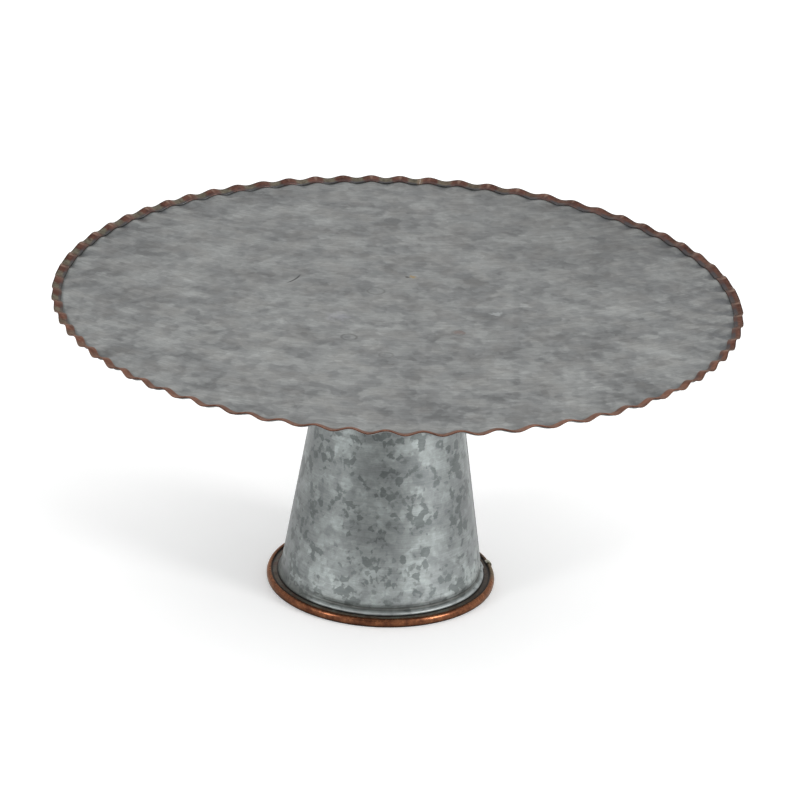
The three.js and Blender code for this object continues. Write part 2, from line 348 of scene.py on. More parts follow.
def spangle(n, cell, warp_mm, seed, soft=0.25):
    """Random value per zinc crystal, 0..1, with wavy, slightly soft borders."""
    v = n.vmath("ADD", n.mm, (seed, -seed * 0.7, seed * 1.9))
    w = n.noise(v, 1 / (cell * 0.55), 4.0, 0.62, 0.0, color=True)
    w = n.scale(n.vmath("SUBTRACT", w, (0.5, 0.5, 0.5)), warp_mm * 2)
    vo = n.voronoi(n.vmath("ADD", v, w), 1 / cell, "SMOOTH_F1", 1.0, soft)
    return n.sep(vo["Color"])[0]


def galvanised_cone():
    n = Nodes("galvanised_cone")
    c1 = spangle(n, 3.7, 1.3, 11.0, 0.28)
    c2 = spangle(n, 1.8, 0.7, 47.0, 0.3)
    c3 = spangle(n, 6.5, 2.2, 83.0, 0.55)
    broad = n.noise(n.mm, 1 / 12.0, 2.0, 0.5)
    drift = n.noise(n.vmath("ADD", n.mm, (40.0, 0.0, 9.0)), 1 / 30.0, 1.0, 0.5)
    fine = n.noise(n.mm, 1 / 0.6, 3.0, 0.65)
    x, y, z = n.sep(n.mm)[:3]
    along = n.comb(n.math("MULTIPLY", x, 0.06), n.math("MULTIPLY", y, 0.06), n.math("MULTIPLY", z, 2.3))
    lines = n.noise(along, 1.0, 4.0, 0.65)
    scuff = n.noise(n.comb(n.math("MULTIPLY", x, 0.16), n.math("MULTIPLY", y, 0.16), n.math("MULTIPLY", z, 1.1)), 1.0, 3.0, 0.6)
    # light ground, stepping a little from crystal to crystal
    light = n.math("ADD", n.math("MULTIPLY", c3, 0.27), n.math("MULTIPLY", c1, 0.24))
    light = n.math("ADD", n.math("ADD", light, 0.09), n.math("MULTIPLY", c2, 0.16))
    light = n.math("ADD", light, n.math("MULTIPLY", n.math("SUBTRACT", drift, 0.43), 0.5))
    ground = n.ramp(light, [(0.12, srgb(108, 111, 112)), (0.36, srgb(121, 125, 125)), (0.54, srgb(132, 137, 136)), (0.82, srgb(158, 165, 164))])
    # darker crystals, in drifts
    dens = n.math("MULTIPLY", n.math("SUBTRACT", broad, 0.5), 1.25)
    k1 = n.math("ADD", n.math("ADD", n.math("MULTIPLY", c1, 0.8), n.math("MULTIPLY", c2, 0.2)), dens)
    dark = n.math("SUBTRACT", 1.0, n.step(k1, 0.19, 0.29))
    k2 = n.math("ADD", n.math("ADD", n.math("MULTIPLY", c2, 0.85), n.math("MULTIPLY", c1, 0.15)), n.math("MULTIPLY", dens, 0.8))
    small = n.math("SUBTRACT", 1.0, n.step(k2, 0.13, 0.21))
    dark = n.math("MAXIMUM", dark, n.math("MULTIPLY", small, 0.65))
    half = n.math("SUBTRACT", 1.0, n.step(n.math("ADD", c3, n.math("MULTIPLY", dens, 0.6)), 0.16, 0.40))
    col = n.mix(n.math("MULTIPLY", half, 0.30), ground, srgb(102, 107, 107))
    col = n.mix(n.math("MULTIPLY", dark, 0.60), col, srgb(84, 90, 89))
    # brush lines and grain
    col = n.mix(1.0, col, n.ramp(lines, [(0.28, 0.80), (0.72, 1.0)]), "MULTIPLY")
    col = n.mix(1.0, col, n.ramp(scuff, [(0.30, 0.86), (0.70, 1.0)]), "MULTIPLY")
    col = n.mix(1.0, col, n.ramp(fine, [(0.2, 0.88), (0.8, 1.0)]), "MULTIPLY")
    # painted shade: duller towards the top under the plate; painted shade in the groove and under the bead; bead
    # lightened by painted highlight and rub wear
    xr = n.math("SUBTRACT", x, PED_X)
    ang = n.math("MULTIPLY", n.math("ARCTAN2", y, xr), 180 / math.pi)
    level = n.math("ADD", n.math("MULTIPLY", n.math("SUBTRACT", 1.0, n.step(z, 10.0, 45.0)), 0.44), 1.12)
    level = n.math("SUBTRACT", level, n.math("MULTIPLY", n.step(z, 40.0, 140.0), 0.06))
    # a painted dark reflection band down the front, and painted shade on the flanks at the left
    dark_reflection_band = n.math("SUBTRACT", 1.0, n.step(n.math("ABSOLUTE", n.math("ADD", n.math("ADD", ang, n.math("MULTIPLY", n.math("SUBTRACT", drift, 0.5), 30.0)), 103.0)), 6.0, 29.0))
    dark_reflection_band = n.math("MULTIPLY", dark_reflection_band, n.step(z, 10.0, 50.0))
    level = n.math("SUBTRACT", level, n.math("MULTIPLY", dark_reflection_band, 0.24))
    shaded_flank = n.step(n.math("ADD", n.math("MULTIPLY", x, -1 / 50.0), 0.0), 0.55, 0.95)
    level = n.math("SUBTRACT", level, n.math("MULTIPLY", n.math("MULTIPLY", shaded_flank, n.step(y, 30.0, -10.0)), 0.14))
    # two painted highlight bands beside it, reflections of the lamps
    for at, half_w, amount in ((-121.0, 13.0, 0.13), (-58.0, 24.0, 0.10)):
        d = n.math("ABSOLUTE", n.math("SUBTRACT", n.math("ADD", ang, n.math("MULTIPLY", n.math("SUBTRACT", c3, 0.5), 10.0)), at))
        level = n.math("ADD", level, n.math("MULTIPLY", n.math("SUBTRACT", 1.0, n.step(d, 2.0, half_w)), amount))
    col = n.vmath("MULTIPLY", col, n.comb(level, level, level))
    # the groove shows from the left front round to the right; it is closed up at the left
    open_ = n.step(n.math("SUBTRACT", x, n.math("MULTIPLY", y, 0.9)), -14.0, 12.0)
    # painted shade in the groove
    groove_shade = n.math("MULTIPLY", n.step(z, 5.35, 5.85), n.math("SUBTRACT", 1.0, n.step(z, 6.8, 7.5)))
    groove_shade = n.math("MULTIPLY", groove_shade, open_)
    # painted shade under the bead
    under = n.math("SUBTRACT", 1.0, n.step(z, 3.85, 4.15))
    # bead lightened: painted highlight and rub wear
    bead_sheen_and_wear = n.math("MULTIPLY", n.step(z, 4.15, 4.5), n.math("SUBTRACT", 1.0, n.step(z, 5.15, 5.55)))
    blot = n.noise(n.mm, 1 / 6.0, 2.0, 0.6)
    col = n.mix(n.math("MULTIPLY", n.math("MULTIPLY", n.math("MULTIPLY", bead_sheen_and_wear, open_), n.math("ADD", n.math("MULTIPLY", n.step(blot, 0.38, 0.58), 0.7), 0.3)), 0.75), col, srgb(172, 177, 177))
    # painted shade on the lower flare at the left, where the groove is closed
    left_flare_shade = n.math("MULTIPLY", n.math("SUBTRACT", 1.0, open_), n.math("SUBTRACT", 1.0, n.step(z, 4.6, 9.5)))
    col = n.mix(n.math("MULTIPLY", left_flare_shade, 0.62), col, srgb(74, 76, 70))
    col = n.mix(n.math("MULTIPLY", groove_shade, n.math("ADD", n.math("MULTIPLY", blot, 0.5), 0.5)), col, srgb(72, 72, 68))
    col = n.mix(n.math("MULTIPLY", under, 0.85), col, srgb(52, 50, 48))
    rough = n.math("ADD", n.math("MULTIPLY", c1, 0.10), 0.36)
    rough = n.math("ADD", rough, n.math("MULTIPLY", dark, 0.06))
    rough = n.math("ADD", rough, n.math("MULTIPLY", n.math("SUBTRACT", 1.0, n.step(z, 6.0, 9.0)), 0.16))
    h = n.math("ADD", n.math("MULTIPLY", lines, 0.5), n.math("MULTIPLY", fine, 0.5))
    h = n.math("ADD", h, n.math("MULTIPLY", c1, 0.5))
    return n.finish(col, rough, 0.80, n.bump(h, 0.3, 0.03), spec=0.4)


def galvanised_plate():
    n = Nodes("galvanised_plate")
    c1 = spangle(n, 6.6, 2.2, 5.0, 0.4)
    c2 = spangle(n, 3.1, 1.0, 29.0, 0.35)
    c3 = spangle(n, 13.0, 4.0, 61.0, 0.7)
    broad = n.noise(n.mm, 1 / 38.0, 2.0, 0.5)
    hue = n.noise(n.vmath("ADD", n.mm, (7.0, 51.0, 3.0)), 1 / 14.0, 2.0, 0.55)
    fine = n.noise(n.mm, 1 / 0.9, 3.0, 0.65)
    x, y, z = n.sep(n.mm)[:3]
    # brush lines, bowed towards the back at both sides
    bow = n.math("SUBTRACT", y, n.math("MULTIPLY", n.math("MULTIPLY", x, x), 0.0022))
    lines = n.noise(n.comb(n.math("MULTIPLY", x, 0.06), n.math("MULTIPLY", bow, 0.62), z), 1.0, 4.0, 0.6)
    tone = n.math("ADD", n.math("MULTIPLY", c3, 0.26), n.math("MULTIPLY", c1, 0.40))
    tone = n.math("ADD", tone, n.math("MULTIPLY", c2, 0.22))
    tone = n.math("ADD", tone, n.math("MULTIPLY", n.math("SUBTRACT", broad, 0.5), 0.55))
    col = n.ramp(tone, [(0.08, srgb(92, 94, 94)), (0.34, srgb(118, 120, 120)), (0.55, srgb(135, 137, 136)), (0.74, srgb(148, 150, 149)), (0.95, srgb(170, 173, 172))])
    col = n.mix(n.math("MULTIPLY", n.step(hue, 0.42, 0.66), 0.17), col, srgb(138, 134, 128))
    col = n.mix(1.0, col, n.ramp(lines, [(0.28, 0.80), (0.72, 1.0)]), "MULTIPLY")
    short = n.noise(n.comb(n.math("MULTIPLY", x, 0.22), n.math("MULTIPLY", bow, 0.95), n.math("ADD", z, 40.0)), 1.0, 3.0, 0.6)
    col = n.mix(1.0, col, n.ramp(short, [(0.30, 0.84), (0.70, 1.0)]), "MULTIPLY")
    col = n.mix(1.0, col, n.ramp(fine, [(0.2, 0.88), (0.8, 1.0)]), "MULTIPLY")
    # painted light: brighter towards the front
    col = n.scale(col, n.math("ADD", n.math("MULTIPLY", n.step(n.math("MULTIPLY", y, -1.0), -60.0, 110.0), 0.11), 1.29))
    r = n.vmath("LENGTH", n.comb(x, y, 0.0))
    # the middle is a little brighter than the margin
    col = n.mix(1.0, col, n.ramp(n.math("MULTIPLY", r, 1 / 165.0), [(0.15, 1.0), (0.75, 0.98), (0.97, 0.96)]), "MULTIPLY")
    # painted shade: darker at the back right
    shaded_back_right = n.math("MULTIPLY", n.step(x, 0.0, 110.0), n.step(y, 0.0, 110.0))
    col = n.mix(n.math("MULTIPLY", shaded_back_right, 0.55), col, n.mix(1.0, col, srgb(198, 198, 197), "MULTIPLY"))
    # painted shade and grime in the hollows of the flutes, strongest at the far side and the right, and painted
    # highlight on their ridges
    w = n.attr("flute")
    far_side = n.step(n.math("ADD", n.math("MULTIPLY", y, 1 / 165.0), n.math("MULTIPLY", n.step(x, 60.0, 150.0), 0.35)), -0.25, 0.35)
    broken = n.step(n.noise(n.mm, 1 / 5.0, 3.0, 0.6), 0.36, 0.60)
    hollow_shade_and_grime = n.math("MULTIPLY", n.step(w, 0.20, 0.80), n.math("ADD", n.math("MULTIPLY", broken, 0.7), 0.3))
    hollow_shade_and_grime = n.math("MULTIPLY", hollow_shade_and_grime, n.math("ADD", n.math("MULTIPLY", far_side, 0.70), 0.18))
    right_side = n.step(n.math("ADD", x, n.math("MULTIPLY", y, 0.3)), 115.0, 150.0)
    hollow_shade_and_grime = n.math("MAXIMUM", hollow_shade_and_grime, n.math("MULTIPLY", right_side, n.math("MULTIPLY", n.step(n.math("ADD", w, n.math("MULTIPLY", n.math("SUBTRACT", broken, 0.6), 0.5)), 0.0, 0.5), 0.66)))
    col = n.mix(n.math("MULTIPLY", hollow_shade_and_grime, 0.80), col, srgb(72, 75, 80))
    ridge_highlight = n.step(n.math("MULTIPLY", w, -1.0), 0.35, 0.95)
    col = n.mix(n.math("MULTIPLY", ridge_highlight, 0.30), col, srgb(160, 162, 158))
    # painted shade and grime in the crease beside the edging
    crease_shade_and_grime = n.step(r, 158.9, 160.6)
    back_left = n.step(n.math("ADD", n.math("MULTIPLY", x, -1 / 165.0), n.math("MULTIPLY", y, 0.9 / 165.0)), -0.2, 0.9)
    col = n.mix(n.math("MULTIPLY", crease_shade_and_grime, n.math("ADD", n.math("MULTIPLY", back_left, 0.5), 0.2)), col, srgb(70, 74, 72))
    # marks of use: faint rings, a rust spot, a brown spot, a short scratch, rubbed spots
    brk = n.noise(n.mm, 1 / 2.5, 2.0, 0.6)

    def near(cx, cy):
        return n.vmath("LENGTH", n.comb(n.math("SUBTRACT", x, cx), n.math("SUBTRACT", y, cy), 0.0))

    for cx, cy, rad, amt in ((-10.7, 8.3, 4.1, 0.42), (-21.9, -51.6, 3.6, 0.50), (-4.2, -71.6, 3.2, 0.28), (29.0, -40.7, 3.0, 0.30)):
        d = n.math("ABSOLUTE", n.math("SUBTRACT", near(cx, cy), rad))
        m = n.math("MULTIPLY", n.math("SUBTRACT", 1.0, n.step(d, 0.2, 0.85)), n.step(brk, 0.25, 0.50))
        col = n.mix(n.math("MULTIPLY", m, amt), col, srgb(66, 66, 64))
    for cx, cy, rad, amt, c in ((6.6, 28.7, 2.3, 0.9, srgb(150, 128, 84)), (4.3, 28.4, 1.3, 0.95, srgb(40, 32, 24)),
                                (29.6, -40.2, 3.4, 0.62, srgb(112, 90, 82)), (47.4, -14.6, 3.4, 0.50, srgb(186, 190, 190)),
                                (-27.9, -26.0, 6.5, 0.30, srgb(160, 160, 170)), (-10.0, 31.5, 5.0, 0.40, srgb(112, 117, 115)), (52.4, -44.8, 6.0, 0.40, srgb(116, 117, 117)), (50.2, -20.6, 5.0, 0.35, srgb(116, 116, 116))):
        d = n.math("ADD", near(cx, cy), n.math("MULTIPLY", n.math("SUBTRACT", brk, 0.5), rad * 2.0))
        col = n.mix(n.math("MULTIPLY", n.math("SUBTRACT", 1.0, n.step(d, rad * 0.35, rad)), amt), col, c)
    # scratch from (-53, 13) to (-46, 26), slightly bowed
    u = n.math("ADD", n.math("MULTIPLY", n.math("ADD", x, 49.9), 0.457), n.math("MULTIPLY", n.math("SUBTRACT", y, 19.4), 0.889))
    v = n.math("SUBTRACT", n.math("MULTIPLY", n.math("ADD", x, 49.9), 0.889), n.math("MULTIPLY", n.math("SUBTRACT", y, 19.4), 0.457))
    v = n.math("ABSOLUTE", n.math("ADD", v, n.math("MULTIPLY", n.math("MULTIPLY", u, u), 0.022)))
    m = n.math("MULTIPLY", n.math("SUBTRACT", 1.0, n.step(v, 0.2, 0.65)), n.math("SUBTRACT", 1.0, n.step(n.math("ABSOLUTE", u), 3.5, 8.2)))
    col = n.mix(n.math("MULTIPLY", m, 0.9), col, srgb(40, 40, 42))
    rough = n.math("ADD", n.math("MULTIPLY", c1, 0.10), 0.40)
    h = n.math("ADD", n.math("MULTIPLY", c2, 0.5), n.math("MULTIPLY", fine, 0.5))
    return n.finish(col, rough, 0.75, n.bump(h, 0.3, 0.03))


def copper_base(n, tones, shift=0.0):
    big = n.noise(n.mm, 1 / 8.0, 3.0, 0.55)
    mid = n.noise(n.mm, 1 / 2.0, 3.0, 0.6)
    fine = n.noise(n.mm, 1 / 0.45, 2.0, 0.6)
    tone = n.math("ADD", n.math("MULTIPLY", big, 0.55), n.math("MULTIPLY", mid, 0.45))
    tone = n.math("ADD", tone, shift)
    col = n.ramp(tone, [(p, srgb(*c)) for p, c in zip((0.28, 0.42, 0.56, 0.74), tones)])
    col = n.mix(1.0, col, n.ramp(fine, [(0.2, 0.78), (0.8, 1.0)]), "MULTIPLY")
    return col, big, mid, fine


def copper_rim():
    """Rolled foot rim."""
    n = Nodes("antique_copper_rim")
    col, big, mid, fine = copper_base(n, ((66, 39, 29), (98, 61, 44), (124, 79, 55), (152, 102, 72)))
    x, y, z = n.sep(n.mm)[:3]
    xr = n.math("SUBTRACT", x, PED_X)
    r = n.vmath("LENGTH", n.comb(xr, y, 0.0))
    ang = n.math("MULTIPLY", n.math("ARCTAN2", y, xr), 180 / math.pi)
    # painted shade on the lower half of the rim, a painted contact shadow where it meets the table, and painted shade
    # and grime where its lip meets the flange
    shade = n.math("SUBTRACT", 1.0, n.step(z, 0.4, 2.4))
    low = n.math("SUBTRACT", 1.0, n.step(n.math("ADD", z, n.math("MULTIPLY", mid, 0.5)), 0.75, 1.35))
    lip_shade_and_grime = n.math("MULTIPLY", n.math("SUBTRACT", 1.0, n.step(r, 54.0, 54.6)), n.step(z, 3.0, 3.5))
    # flux stain either side of the soldered joint, with painted shade on the side behind the solder
    front = n.math("MULTIPLY", n.step(n.math("ADD", ang, n.math("MULTIPLY", n.math("SUBTRACT", big, 0.5), 8.0)), -8.0, 1.0), n.math("SUBTRACT", 1.0, n.step(ang, 15.0, 16.0)))
    behind_joint_shade_and_stain = n.math("MULTIPLY", n.step(ang, 15.6, 16.6), n.math("SUBTRACT", 1.0, n.step(ang, 30.0, 36.0)))
    olive = n.ramp(mid, [(0.35, srgb(82, 76, 62)), (0.6, srgb(122, 116, 100))])
    col = n.mix(n.math("MULTIPLY", front, 0.88), col, olive)
    col = n.mix(n.math("MULTIPLY", behind_joint_shade_and_stain, 0.85), col, n.ramp(mid, [(0.4, srgb(36, 32, 30)), (0.66, srgb(96, 84, 76))]))
    col = n.mix(n.math("MULTIPLY", lip_shade_and_grime, 0.75), col, srgb(40, 30, 26))
    col = n.mix(n.math("MULTIPLY", shade, 0.60), col, srgb(48, 29, 20))
    col = n.mix(n.math("MULTIPLY", low, 0.95), col, srgb(20, 13, 10))
    rough = n.math("ADD", n.math("MULTIPLY", mid, 0.22), 0.14)
    rough = n.math("ADD", rough, n.math("MULTIPLY", shade, 0.25))
    rough = n.math("ADD", rough, n.math("MULTIPLY", front, 0.2))
    return n.finish(col, rough, 0.90, n.bump(n.math("ADD", mid, n.math("MULTIPLY", fine, 0.4)), 0.3, 0.05), spec=0.35, tint=srgb(244, 228, 216))


def copper_edging():
    """Edging strip: copper red on the flanks, olive grey in the hollows, dark rim line."""
    n = Nodes("antique_copper_edging")
    col, big, mid, fine = copper_base(n, ((58, 38, 32), (86, 58, 50), (106, 74, 64), (132, 95, 81)))
    x, y, z = n.sep(n.mm)[:3]
    w, u = n.attr("flute"), n.attr("across")
    side = n.step(n.math("ADD", n.math("MULTIPLY", x, -1 / 165.0), n.math("MULTIPLY", y, 0.9 / 165.0)), 0.15, 0.95)
    # painted light: the near side warmer and brighter, the far side greyer
    near_side_light = n.step(n.math("MULTIPLY", y, -1 / 165.0), -0.1, 0.6)
    col = n.mix(1.0, col, n.mix(near_side_light, (0.84, 0.84, 0.86), (1.0, 0.96, 0.88)), "MULTIPLY")
    col = n.scale(col, n.math("ADD", n.math("MULTIPLY", near_side_light, 0.30), 1.18))
    near_side = n.step(n.math("SUBTRACT", n.math("MULTIPLY", y, -1 / 165.0), n.math("MULTIPLY", x, 0.12 / 165.0)), 0.20, 0.62)
    hollow = n.step(n.math("ADD", w, n.math("MULTIPLY", n.math("SUBTRACT", mid, 0.5), 1.2)), -0.15, 0.6)
    olive = n.ramp(mid, [(0.35, srgb(86, 88, 76)), (0.62, srgb(118, 120, 106))])
    col = n.mix(n.math("MULTIPLY", hollow, n.math("ADD", n.math("MULTIPLY", side, 0.66), 0.06)), col, olive)
    # painted highlight on the ridges, paler
    ridge_highlight = n.step(n.math("MULTIPLY", w, -1.0), 0.84, 0.99)
    col = n.mix(n.math("MULTIPLY", ridge_highlight, n.math("SUBTRACT", 0.60, n.math("MULTIPLY", near_side, 0.50))), col, srgb(158, 134, 120))
    # inner margin darkened as painted shade, worst in the hollows and wider at the right
    broad = n.math("MULTIPLY", n.step(n.math("ADD", x, n.math("MULTIPLY", y, 0.3)), 90.0, 150.0), 0.16)
    inner = n.math("SUBTRACT", 1.0, n.step(n.math("SUBTRACT", n.math("ADD", u, n.math("MULTIPLY", n.math("SUBTRACT", mid, 0.5), 0.25)), broad), 0.12, 0.38))
    margin_shade = n.math("ADD", n.math("MULTIPLY", n.step(w, -0.5, 0.4), 0.55), 0.35)
    margin_shade = n.math("MULTIPLY", margin_shade, n.math("SUBTRACT", 1.0, n.math("MULTIPLY", near_side, 0.85)))
    col = n.mix(n.math("MULTIPLY", inner, margin_shade), col, srgb(76, 77, 80))
    # dark line along the outer edge and below
    outer = n.step(n.math("ADD", u, n.math("MULTIPLY", n.math("SUBTRACT", mid, 0.5), 0.12)), 0.86, 0.93)
    outer = n.math("MULTIPLY", outer, n.math("SUBTRACT", 0.82, n.math("MULTIPLY", near_side, 0.70)))
    col = n.mix(outer, col, srgb(50, 32, 27))
    hem = n.step(u, 1.14, 1.30)
    col = n.mix(n.math("MULTIPLY", hem, 0.85), col, srgb(44, 28, 23))
    # pale smear over the butt joint
    ang = n.math("MULTIPLY", n.math("ARCTAN2", y, x), 180 / math.pi)
    smear = n.math("SUBTRACT", 1.0, n.step(n.math("ABSOLUTE", n.math("SUBTRACT", ang, EDGING_JOINT_DEG)), 0.2, 0.75))
    col = n.mix(n.math("MULTIPLY", smear, 0.6), col, srgb(140, 122, 104))
    rough = n.math("ADD", n.math("MULTIPLY", mid, 0.22), 0.30)
    return n.finish(col, rough, 0.85, n.bump(n.math("ADD", mid, n.math("MULTIPLY", fine, 0.4)), 0.3, 0.05), spec=0.35, tint=srgb(246, 230, 220))


def patina_ring():
    n = Nodes("gutter_patina")
    a = n.noise(n.mm, 1 / 5.0, 3.0, 0.6)
    b = n.noise(n.mm, 1 / 1.1, 3.0, 0.6)
    x, y, z = n.sep(n.mm)[:3]
    xr = n.math("SUBTRACT", x, PED_X)
    r = n.vmath("LENGTH", n.comb(xr, y, 0.0))
    col = n.ramp(n.math("ADD", n.math("MULTIPLY", a, 0.6), n.math("MULTIPLY", b, 0.4)),
                 [(0.34, srgb(70, 52, 42)), (0.46, srgb(96, 84, 72)), (0.56, srgb(104, 104, 96)), (0.72, srgb(126, 130, 120))])
    ang = n.math("MULTIPLY", n.math("ARCTAN2", y, xr), 180 / math.pi)
    right = n.math("SUBTRACT", 1.0, n.step(n.math("ABSOLUTE", n.math("ADD", ang, n.math("MULTIPLY", n.math("SUBTRACT", a, 0.5), 20.0))), 24.0, 52.0))
    col = n.mix(n.math("MULTIPLY", right, 0.72), col, n.ramp(b, [(0.4, srgb(38, 28, 24)), (0.65, srgb(82, 62, 48))]))
    rusty = n.math("MULTIPLY", n.step(a, 0.50, 0.62), n.step(n.math("ABSOLUTE", ang), 125.0, 145.0))
    col = n.mix(n.math("MULTIPLY", rusty, 0.7), col, srgb(92, 58, 46))
    # black lines of painted contact shade and dirt where cone and rim sit on the flange
    e1 = n.math("SUBTRACT", 1.0, n.step(n.math("ADD", r, n.math("MULTIPLY", b, 0.4)), 50.9, 51.7))
    e2 = n.step(n.math("ADD", r, n.math("MULTIPLY", b, 0.3)), 52.8, 53.5)
    top = n.step(z, 2.9, 3.2)
    col = n.mix(n.math("MULTIPLY", n.math("MULTIPLY", n.math("MAXIMUM", e1, e2), top), 0.88), col, srgb(32, 27, 25))
    return n.finish(col, n.math("ADD", n.math("MULTIPLY", b, 0.2), 0.42), 0.6, n.bump(b, 0.4, 0.06), spec=0.3)


def solder_mat():
    n = Nodes("solder")
    a = n.noise(n.mm, 1 / 1.3, 3.0, 0.6)
    b = n.noise(n.mm, 1 / 0.4, 2.0, 0.6)
    col = n.ramp(n.math("ADD", n.math("MULTIPLY", a, 0.6), n.math("MULTIPLY", b, 0.4)),
                 [(0.34, srgb(78, 74, 60)), (0.48, srgb(142, 140, 124)), (0.66, srgb(204, 202, 188))])
    return n.finish(col, n.math("ADD", n.math("MULTIPLY", a, 0.2), 0.28), 0.75, n.bump(a, 0.5, 0.15))


def wire_mat():
    n = Nodes("core_wire")
    a = n.noise(n.mm, 1 / 1.5, 3.0, 0.6)
    col = n.ramp(a, [(0.3, srgb(98, 98, 100)), (0.7, srgb(150, 150, 152))])
    return n.finish(col, n.math("ADD", n.math("MULTIPLY", a, 0.2), 0.3), 0.9)


M_CONE = galvanised_cone()
M_PLATE = galvanised_plate()
M_RIM = copper_rim()
M_EDGE = copper_edging()
M_GUTTER = patina_ring()
M_SOLDER = solder_mat()
M_WIRE = wire_mat()


def dress(ob, mat, slot, *nodes):
    ob.data.materials.clear()
    ob.data.materials.append(mat)
    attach(ob, "root")
    if nodes:
        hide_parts(*nodes)


# ------------------------------------------------------------------ serving plate

def build_plate():
    outer = flute_angles(16)
    inner = outer[::4]
    r_in = [6, 14, 24, 34, 44, 54, 64, 74, 84, 94, 104, 114, 123, 131, 138, 143.5]
    r_out = list(np.linspace(147.5, 161.0, 13)) + [161.45]

    def lift(x, y):
        # sheet never lies dead flat
        return 0.07 * lowfreq(x, y, 0, 46.0, 3.1)

    wave = [np.zeros(1)]

    def surface(r, ang, z0):
        dr, dz = flute_shift(r, ang)
        wave.append(dr / FLUTE_R)
        rr = r + dr
        x, y = rr * np.cos(ang), rr * np.sin(ang)
        fade = 1 - smooth((r - 140) / 12)
        return np.stack([x, y, z0 + dz + lift(x, y) * fade], 1)

    verts, faces = [np.array([[0, 0, PLATE_TOP]])], []
    rows = []  # (first index, count)
    base = 1

    def add_row(r, ang, z0):
        nonlocal base
        verts.append(surface(np.full(len(ang), float(r)), ang, z0))
        rows.append((base, len(ang)))
        base += len(ang)

    for r in r_in:
        add_row(r, inner, PLATE_TOP)
    for r in r_out:
        add_row(r, outer, PLATE_TOP)
    # rounded rim of the sheet
    add_row(161.65, outer, PLATE_TOP - 0.12)
    add_row(161.7, outer, PLATE_TOP - SHEET / 2)
    add_row(161.65, outer, PLATE_UNDER + 0.12)
    for r in reversed(r_out):
        add_row(r, outer, PLATE_UNDER)
    for r in reversed(r_in):
        add_row(r, inner, PLATE_UNDER)
    verts.append(np.array([[0, 0, PLATE_UNDER]]))
    last = base
    for (a, na), (b, nb) in zip(rows, rows[1:]):
        if na == nb:
            for j in range(na):
                k = (j + 1) % na
                faces.append((a + j, a + k, b + k, b + j))
        elif nb == 4 * na:
            for j in range(na):
                k = (j + 1) % na
                faces.append((a + j, a + k, b + (4 * j + 4) % nb, b + 4 * j + 3, b + 4 * j + 2, b + 4 * j + 1, b + 4 * j))
        else:
            for j in range(nb):
                k = (j + 1) % nb
                faces.append((a + 4 * j, a + 4 * j + 1, a + 4 * j + 2, a + 4 * j + 3, a + (4 * j + 4) % na, b + k, b + j))
    a, na = rows[0]
    faces += [(0, a + j, a + (j + 1) % na) for j in range(na)]
    a, na = rows[-1]
    faces += [(last, a + (j + 1) % na, a + j) for j in range(na)]
    ob = mesh_object("plate_sheet", np.concatenate(verts), faces)
    point_values(ob, "flute", np.concatenate(wave + [np.zeros(1)]))
    return ob


plate = build_plate()
dress(plate, M_PLATE, "galvanised_plate", "serving_plate")


# ------------------------------------------------------------------ plate edging

def build_edging():
    r0 = PLATE_R - EDGING_W
    outline = rounded(
        [
            (r0, PLATE_TOP + 0.02), (r0 + 1.35, PLATE_TOP + 0.02), (r0 + 1.75, STRIP_IN_Z - 0.05),
            (PLATE_R - 0.1, EDGE_Z - 0.55), (PLATE_R, EDGE_Z + 0.25),
            (r0 + 1.5, STRIP_IN_Z + 0.34), (r0 + 0.05, STRIP_IN_Z + 0.02),
        ],
        [0.1, 0.15, 0.3, 0.22, 0.2, 0.5, 0.2], 3,
    )
    joint = math.radians(EDGING_JOINT_DEG)
    half = 0.05 / PLATE_R
    a = (flute_angles(16) - joint) % (2 * math.pi) + joint
    a = np.sort(a[(a > joint + 0.002) & (a < joint + 2 * math.pi - 0.002)])
    a = np.concatenate([[joint + half], a, [joint + 2 * math.pi - half]])

    def warp(r, z, ang):
        dr, dz = flute_shift(r, ang)
        wob = 0.05 * lowfreq(r * np.cos(ang), r * np.sin(ang), 0, 14.0, 7.7)
        return r + dr, z + dz + wob * smooth((r - r0 - 1) / 2), ang

    ob = ring("edging_strip", outline, a, closed=False, warp=warp)
    wave = np.stack([flute_shift(outline[:, 0], np.full(len(outline), t))[0] / FLUTE_R for t in a])
    point_values(ob, "flute", wave.ravel())
    top = (outline[:, 0] - r0) / EDGING_W
    under = outline[:, 1] < np.interp(outline[:, 0], [r0, PLATE_R], [STRIP_IN_Z, EDGE_Z]) - 0.02
    top = np.where(under & (outline[:, 0] > r0 + 1.4), 1.4, top)
    point_values(ob, "across", np.tile(top, len(a)))
    return ob


edging = build_edging()
dress(edging, M_EDGE, "antique_copper", "plate_edging")


# ------------------------------------------------------------------ pedestal cone

